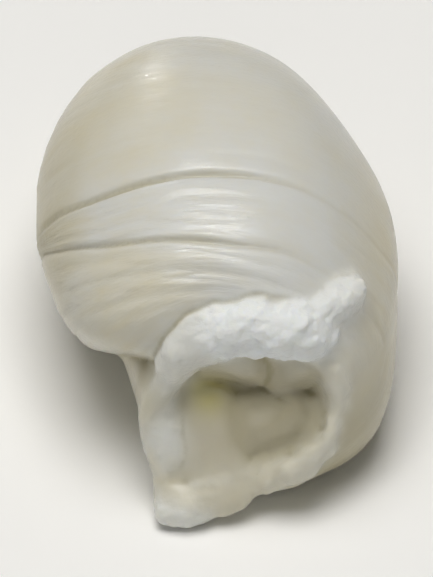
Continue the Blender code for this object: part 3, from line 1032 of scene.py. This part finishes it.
@dataclass
class Knot:
    """The knot's visible surface: fused, marked with how its curd runs, and given its relief.

    Attributes:
        grid: The size of the fused mesh's faces.
        blend: Over what distance one length's looks pass into the next one's.
        reach: How far from a point its lengths are looked for.
        groove_depth: How deep the gaps between pulled bands of fibres are, groove_pitch how wide
            those bands are, and stretch how many times longer than wide.
        strand_depth: The depth of the finer ridges, and strand_pitch is their width.
        crumb_depth: The relief of the torn curd, and crumb_level where its crumbs begin to swell.
        lump_depth: The relief of the wet inside.
        melt_rounds: Rounds of smoothing where joins are melted together.
        even_rounds: Rounds of averaging that even the looks out, as fold_rounds and
            crease_rounds find the narrow folds and the broad creases.
        edge_depth: How deep the wrap's front edge is cut, and edge_power how narrowly.
        fold_shade: How dark the painted shade at the borders of folds is, and fold_most is the
            most.
        wet_torn: How wet the least white torn curd looks.
    """

    finish: FreshCurd
    forms: KnotForms = KnotForms()
    places: CurdPlaces = CurdPlaces()
    grid: float = 0.41
    soft_rounds: int = 2
    blend: float = 0.35
    reach: float = 3.0
    hollow_margin: float = 0.5
    groove_depth: float = 0.2
    groove_pitch: float = 3.2
    groove_sharpness: float = 9.0
    strand_depth: float = 0.12
    strand_pitch: float = 1.2
    stretch: float = 9.0
    crumb_depth: float = 1.9
    crumb_size: float = 1.9
    crumb_level: float = 0.1
    lump_depth: float = 1.1
    lump_size: float = 4.0
    melt_rounds: int = 40
    seed: int = 7
    even_rounds: int = 5
    fold_rounds: int = 7
    crease_rounds: int = 24
    edge_depth: float = 0.3
    edge_power: int = 4
    fold_shade: float = 1.3
    fold_most: float = 0.55
    low_shade: float = 0.8
    wet_torn: float = 0.6
    pool_size: float = 2.7
    pool_strength: float = 1.5

    def scratch(self, obj: Object) -> Object:
        """Links an object for as long as it is worked on."""
        bpy.context.scene.collection.objects.link(obj)
        return obj

    def taken(self, obj: Object) -> Mesh:
        """The object's evaluated mesh, after which the object is removed."""
        shaped = obj.evaluated_get(bpy.context.evaluated_depsgraph_get())
        mesh = bpy.data.meshes.new_from_object(shaped)
        bpy.data.objects.remove(obj)
        return mesh

    def joined(self, name: str, parts: list[Object]) -> Object:
        """One linked object that holds every part's mesh, in place of them."""
        mesh = bmesh.new()
        for part in parts:
            mesh.from_mesh(part.data)
            bpy.data.objects.remove(part)
        data = bpy.data.meshes.new(name)
        mesh.to_mesh(data)
        mesh.free()
        return self.scratch(bpy.data.objects.new(name, data))

    def fuse(self, obj: Object) -> None:
        """Fuses what overlaps into one closed surface."""
        remesh = obj.modifiers.new("fuse", "REMESH")
        remesh.mode = "VOXEL"
        remesh.voxel_size = self.grid * MM

    def fused(self, solids: dict[str, Object]) -> Mesh:
        """Fuses the lengths, hollows the mouth and fuses what is laid in it.

        Args:
            solids: Every form's closed mesh by the form's name, all of which are used up.

        Returns:
            One closed mesh.
        """
        body = self.joined("body", [solids[form.name] for form in self.forms.lengths])
        hollow = self.scratch(solids[self.forms.hollow.name])
        self.fuse(body)
        cut = body.modifiers.new("hollow", "BOOLEAN")
        cut.operation = "DIFFERENCE"
        cut.object = hollow
        opened = bpy.data.objects.new("opened", self.taken(body))
        bpy.data.objects.remove(hollow)
        knot = self.joined("fused", [opened, *[solids[form.name] for form in self.forms.laid]])
        self.fuse(knot)
        soften = knot.modifiers.new("soften", "SMOOTH")
        soften.factor = 0.5
        soften.iterations = self.soft_rounds
        return self.taken(knot)

    def tree(self, obj: Object) -> BVHTree:
        """A search tree over an object's faces."""
        mesh = bmesh.new()
        mesh.from_mesh(obj.data)
        tree = BVHTree.FromBMesh(mesh)
        mesh.free()
        return tree

    def gaps(self, tree: BVHTree, points: Array) -> Array:
        """How far each point is from a form's surface, up to the reach."""
        found = (tree.find_nearest(point * MM, self.reach * MM)[3] for point in points)
        return np.array([self.reach if gap is None else gap / MM for gap in found])

    def evened(self, mesh: Mesh, rows: Array, rounds: int) -> Array:
        """Averages values with their neighbours' along the mesh's edges.

        Args:
            mesh: The mesh whose points have the values.
            rows: One row for each kind of value.
            rounds: How many times to average.

        Returns:
            The evened rows.
        """
        edges = np.empty(len(mesh.edges) * 2, int)
        mesh.edges.foreach_get("vertices", edges)
        one, two = edges[::2], edges[1::2]
        count = np.bincount(edges, minlength=rows.shape[1])
        calm = rows.copy()
        for _ in range(rounds):
            for k, row in enumerate(calm):
                both = np.bincount(one, row[two], len(row)) + np.bincount(two, row[one], len(row))
                calm[k] = both / count
        return calm

    def creases(self, mesh: Mesh, points: Array) -> tuple[Array, Array]:
        """Finds how deep each point lies below a smoothed copy of the surface.

        Args:
            mesh: The fused mesh.
            points: Its points, in millimetres.

        Returns:
            From 0 on open skin to 1 in a narrow fold, and the same for broad creases; both set
            where shade is painted.
        """
        normals = vectors(mesh, "normal")
        near = self.evened(mesh, points.T, self.fold_rounds)
        far = self.evened(mesh, near, self.crease_rounds - self.fold_rounds)
        fold, wide = (((calm.T - points) * normals).sum(1) for calm in (near, far))
        return self.places.fold.at(fold), self.places.wide.at(wide)

    def wetness(self, form: Form) -> float:
        """How much of the inner curd's colour a form has, from 0 to 1."""
        torn = self.wet_torn * (1 - form.white)
        return {Zone.SKIN: 0.0, Zone.TORN: torn, Zone.INNER: 1.0}[form.zone]

    def warmth(self, points: Array, dome: Array, across: Array) -> Array:
        """How warm the curd's colour is: the wrap's warmer tone, and painted shade near the table
        and at both sides.

        Args:
            points: The mesh's points, in millimetres.
            dome: Which of them are on the wrap.
            across: Where those lie across the wrap laid flat.

        Returns:
            The warmth at each point, from 0 to 1.
        """
        places = self.places
        x, _, z = points.T
        # Painted shade, warm and darker, near the table.
        warm = places.warm_low.at(z)
        back = places.warm_left.at(x[dome]) * places.warm_back.at(across)
        front = places.warm_front_left.at(x[dome]) * places.warm_front.at(across)
        warm[dome] = np.max([warm[dome], back, front], axis=0)
        # Painted shade, warm and darker, towards both sides.
        return np.maximum(warm, places.warm_sides.at(np.abs(x)))

    def marked(self, mesh: Mesh, trees: dict[str, BVHTree]) -> None:
        """Writes how the curd runs at each point, for the relief and the finish to read.

        Args:
            mesh: The fused mesh, which gets the attributes.
            trees: A search tree for each form by the form's name.
        """
        places, forms, wrap = self.places, self.forms.every(), self.forms.lengths[0]
        points = vectors(mesh, "co") / MM
        x, y, z = points.T
        away = np.array([self.gaps(trees[form.name], points) for form in forms])
        out = self.forms.hollow.end.local(points)[2]
        away[forms.index(self.forms.hollow)] += np.clip(out + self.hollow_margin, 0, self.reach)
        nearest = away.argmin(0)
        share = np.exp((away.min(0) - away) / self.blend)
        share = (share / share.sum(0)).T
        pull = share @ np.array([form.pull for form in forms])
        torn = share @ np.array([form.white for form in forms])
        soft = share @ np.array([form.soft for form in forms])
        inner = share @ np.array([self.wetness(form) for form in forms])
        raw = share @ np.array([float(form.zone is not Zone.SKIN) for form in forms])
        fibre = np.zeros_like(points)
        for k, form in enumerate(forms):
            fibre[nearest == k] = form.fibre(points[nearest == k])

        dome = nearest == 0
        across = fibre[dome, 1]
        turn = np.degrees(fibre[dome, 0] / wrap.fibre_radius)
        first, second = np.partition(away, 1, axis=0)[:2]
        pull *= places.clear.at(second - first)
        pull[dome] *= places.pull_forward.at(across) * places.pull_left.at(turn)
        soft[dome] = np.maximum(soft[dome], places.soft_right.at(turn))
        edge = border(share[:, 0]) ** self.edge_power
        edge *= places.edge_front.at(y) * places.edge_left.at(x)
        soft *= 1 - edge

        pool = np.linalg.norm(points - self.forms.whey_pool, axis=1) / self.pool_size
        pool = np.minimum(self.pool_strength * np.exp(-(pool**2)), 1)
        deep = inner * np.maximum(places.deep.at(out), pool)
        names = [form.name for form in forms]
        # Painted shade along the borders of the outlined folds.
        folds = [border(share[:, names.index(name)]) for name in self.forms.outlined]
        warm = self.warmth(points, dome, across)
        rows = np.array([torn, inner, deep, raw, soft, warm, np.max(folds, axis=0)])
        rows = self.evened(mesh, rows, self.even_rounds)
        softer = self.evened(mesh, rows[:2], self.melt_rounds)
        rows[:2] += (softer - rows[:2]) * places.melt.at(rows[4])
        marks = dict(zip(("torn", "inner", "deep", "raw", "soft", "warm"), rows))

        cut = self.edge_depth * edge
        cut[dome] = np.maximum(cut[dome], wrap.cuts(points[dome]))
        # Painted shade for creases: narrow folds in the torn curd, broad creases, the pleats' cuts
        # and the wrap's front edge, the borders of the outlined folds, and the low sides near the
        # table.
        fold, wide = self.creases(mesh, points)
        shade = self.fold_shade * self.evened(mesh, rows[6:], self.fold_rounds)[0]
        low = places.shade_low.at(z) * places.shade_right.at(x)
        low = self.low_shade * np.maximum(low, places.shade_left.at(x)) * (1 - raw)
        shades = [fold * raw, wide, np.minimum(cut + edge, 1), np.minimum(shade, self.fold_most)]
        marks |= {"pull": pull, "cut": cut, "crease_shade": np.max([*shades, low], axis=0)}
        for name, values in marks.items():
            mesh.attributes.new(name, "FLOAT", "POINT").data.foreach_set("value", values)
        lie = mesh.attributes.new("fibre", "FLOAT_VECTOR", "POINT")
        lie.data.foreach_set("vector", fibre.ravel())

    def relief(self, material: Material) -> NodeModifier:
        """Builds the tree that presses grooves, crumbs and lumps into the curd.

        Args:
            material: The curd's finish.

        Returns:
            The tree, ready to run. The grooves only go inwards, and the torn curd swells in
            round crumbs with creases between them.
        """
        nodes = NodeModifier(
            "curd_relief",
            {
                "Groove depth": self.groove_depth * MM,
                "Groove pitch": self.groove_pitch,
                "Strand depth": self.strand_depth * MM,
                "Strand pitch": self.strand_pitch,
                "Stretch": self.stretch,
                "Crumb depth": self.crumb_depth * MM,
                "Crumb size": self.crumb_size * MM,
                "Lump depth": self.lump_depth * MM,
                "Lump size": self.lump_size * MM,
                "Soft rounds": self.melt_rounds,
                "Seed": float(self.seed),
                "Material": material,
            },
        )

        put = partial(add, nodes.tree)
        terms = {socket.name: socket for socket in nodes.source.outputs}
        kinds = {"torn": "FLOAT", "raw": "FLOAT", "pull": "FLOAT", "cut": "FLOAT", "soft": "FLOAT"}
        for name, kind in (kinds | {"fibre": "FLOAT_VECTOR"}).items():
            terms[name] = put("GeometryNodeInputNamedAttribute", {"Name": name}, data_type=kind)
        lie = put("ShaderNodeSeparateXYZ", (terms["fibre"],)).node.outputs
        along = put(MATH, (lie[0], terms["Stretch"]), operation="DIVIDE")
        run = put("ShaderNodeCombineXYZ", (along, lie[1], lie[2]))
        place = put("GeometryNodeInputPosition")
        for name, vector, size, shift, detail in (
            ("bands", run, "Groove pitch", 0.0, 1.0),
            ("strands", run, "Strand pitch", 5.0, 2.0),
            ("crumbs", place, "Crumb size", 20.0, 1.0),
            ("lumps", place, "Lump size", 9.0, 1.5),
        ):
            sockets = {"Vector": vector, "Detail": detail}
            sockets["W"] = put(MATH, (terms["Seed"], shift), operation="ADD")
            sockets["Scale"] = put(MATH, (1.0, terms[size]), operation="DIVIDE")
            terms[name] = put("ShaderNodeTexNoise", sockets, noise_dimensions="4D")

        # Each row adds to the named terms: the result, the operation and what it takes.
        for name, operation, *parts in (
            ("groove", "SUBTRACT", "bands", 0.5),
            ("groove", "ABSOLUTE", "groove"),
            ("groove", "MULTIPLY", "groove", self.groove_sharpness),
            ("groove", "SUBTRACT", 1.0, "groove"),
            ("groove", "MAXIMUM", "groove", 0.0),
            ("groove", "MULTIPLY", "groove", "Groove depth"),
            ("strands", "MULTIPLY", "strands", "Strand depth"),
            ("sunk", "ADD", "groove", "strands"),
            ("sunk", "MULTIPLY", "sunk", "pull"),
            ("crumbs", "SUBTRACT", "crumbs", 0.5),
            ("crumbs", "ABSOLUTE", "crumbs"),
            ("crumbs", "SUBTRACT", self.crumb_level, "crumbs"),
            ("most", "MULTIPLY", "Crumb depth", "torn"),
            ("crumbs", "MULTIPLY", "crumbs", "most"),
            ("lumps", "SUBTRACT", "lumps", 0.5),
            ("most", "MULTIPLY", "Lump depth", "raw"),
            ("lumps", "MULTIPLY", "lumps", "most"),
            ("crumbs", "ADD", "crumbs", "lumps"),
            ("sunk", "ADD", "sunk", "crumbs"),
            ("sunk", "MULTIPLY_ADD", "cut", MM, "sunk"),
            ("raised", "MULTIPLY", "sunk", -1.0),
        ):
            values = [terms.get(part, part) for part in parts]
            terms[name] = put(MATH, values, operation=operation)
        sockets = {"Value": place, "Iterations": terms["Soft rounds"]}
        calm = put("GeometryNodeBlurAttribute", sockets, data_type="FLOAT_VECTOR")
        melt = put("ShaderNodeVectorMath", (calm, place), operation="SUBTRACT")
        geometry = terms["Geometry"]
        for vector, share in ((melt, "soft"), (put("GeometryNodeInputNormal"), "raised")):
            sockets = {0: vector, "Scale": terms[share]}
            offset = put("ShaderNodeVectorMath", sockets, operation="SCALE")
            sockets = {"Geometry": geometry, "Offset": offset}
            geometry = put("GeometryNodeSetPosition", sockets)
        nodes.finish(geometry)
        return nodes

    def build(self) -> Object:
        """Builds the knot, its flat underside on the table at Z 0.

        Returns:
            The finished piece.
        """
        solids = {form.name: loft(form.name, form.rings()) for form in self.forms.every()}
        trees = {name: self.tree(solid) for name, solid in solids.items()}
        rough = self.scratch(bpy.data.objects.new("rough", self.fused(solids)))
        self.marked(rough.data, trees)
        mesh = self.relief(self.finish.material()).run(rough)
        bpy.data.objects.remove(rough)
        mesh.transform(Matrix.Translation((0, 0, -REST_HEIGHT * MM)))
        boxed(mesh)
        mesh.shade_smooth()
        return self.scratch(bpy.data.objects.new("knotted_curd", mesh))


# --- the studio ---


@dataclass(frozen=True)
class SoftLight:
    """A square lamp that faces the knot, and either lights it or only shows in its gloss."""

    name: str
    place: tuple[float, float, float]
    size: float
    power: float
    colour: str = "#FFFFFF"
    gloss_only: bool = False


@dataclass(frozen=True)
class Studio:
    """The pale floor, the soft light and the camera.

    Attributes:
        elevation: How far the camera looks down, in degrees.
        distance: From the camera to the knot, in metres.
        middle: What the camera looks at, in millimetres.
        view_height: How many millimetres the frame's long side takes in.
    """

    floor: StudioFloor = StudioFloor()
    floor_size: float = 3.0
    elevation: float = 45.0
    distance: float = 2.5
    middle: tuple[float, float, float] = (0.0, 8.4, 6.2)
    view_height: float = 82.2
    sensor: float = 36.0
    sky: str = "#FFFFFF"
    sky_strength: float = 0.1
    lights: tuple[SoftLight, ...] = (
        SoftLight("overhead_softbox", (-0.05, 0.0, 0.75), 0.5, 4.75, "#FFFDFA"),
        SoftLight("front_fill", (0.0, -0.85, 0.45), 0.6, 0.45),
        SoftLight("glint_lamp", (0.02, 0.12, 0.70), 0.03, 2.3, gloss_only=True),
        SoftLight("rear_lamp", (-0.20, 0.72, 0.24), 0.03, 0.5, gloss_only=True),
    )

    def build(self) -> None:
        """Lays the floor, hangs the lights and sets the camera."""
        half = self.floor_size / 2
        data = bpy.data.meshes.new("floor")
        corners = [(-half, -half, 0), (half, -half, 0), (half, half, 0), (-half, half, 0)]
        data.from_pydata(corners, [], [(0, 1, 2, 3)])
        data.materials.append(self.floor.material())
        floor = bpy.data.objects.new("floor", data)
        bpy.context.scene.collection.objects.link(floor)
        floor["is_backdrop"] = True
        for light in self.lights:
            self.hang(light)
        world = bpy.data.worlds.new("studio")
        world.use_nodes = True
        sky = world.node_tree.nodes["Background"]
        sky.inputs["Color"].default_value = linear(self.sky)
        sky.inputs["Strength"].default_value = self.sky_strength
        bpy.context.scene.world = world
        bpy.context.scene.view_settings.view_transform = "Standard"
        self.camera()

    def hang(self, light: SoftLight) -> None:
        """Hangs one soft box, facing the knot."""
        data = bpy.data.lights.new(light.name, "AREA")
        data.size = light.size
        data.energy = light.power
        data.color = linear(light.colour)[:3]
        lamp = bpy.data.objects.new(light.name, data)
        bpy.context.scene.collection.objects.link(lamp)
        lamp.visible_glossy = light.gloss_only
        lamp.visible_diffuse = not light.gloss_only
        lamp.location = light.place
        lamp.rotation_euler = (-Vector(light.place)).to_track_quat("-Z", "Y").to_euler()

    def camera(self) -> None:
        """Sets the camera in front of the knot, looking down at it."""
        data = bpy.data.cameras.new("camera")
        data.sensor_width = self.sensor
        data.lens = self.sensor * self.distance / (self.view_height * MM)
        camera = bpy.data.objects.new("camera", data)
        bpy.context.scene.collection.objects.link(camera)
        up = math.radians(self.elevation)
        back = Vector((0.0, -math.cos(up), math.sin(up)))
        camera.location = Vector(self.middle) * MM + back * self.distance
        camera.rotation_euler = (-back).to_track_quat("-Z", "Y").to_euler()
        bpy.context.scene.camera = camera


def main() -> None:
    """Builds the knot and the studio."""
    logging.basicConfig(level=logging.INFO, format="%(message)s")
    knot = Knot(FreshCurd()).build()
    log.info("%s: %d faces", knot.name, len(knot.data.polygons))
    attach(knot, BODY)
    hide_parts(NODE)
    Studio().build()
    log.info("studio is set")


if __name__ == "__main__":
    main()
    [[list(corner) for corner in box] for box in (CAD_BOX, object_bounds())]
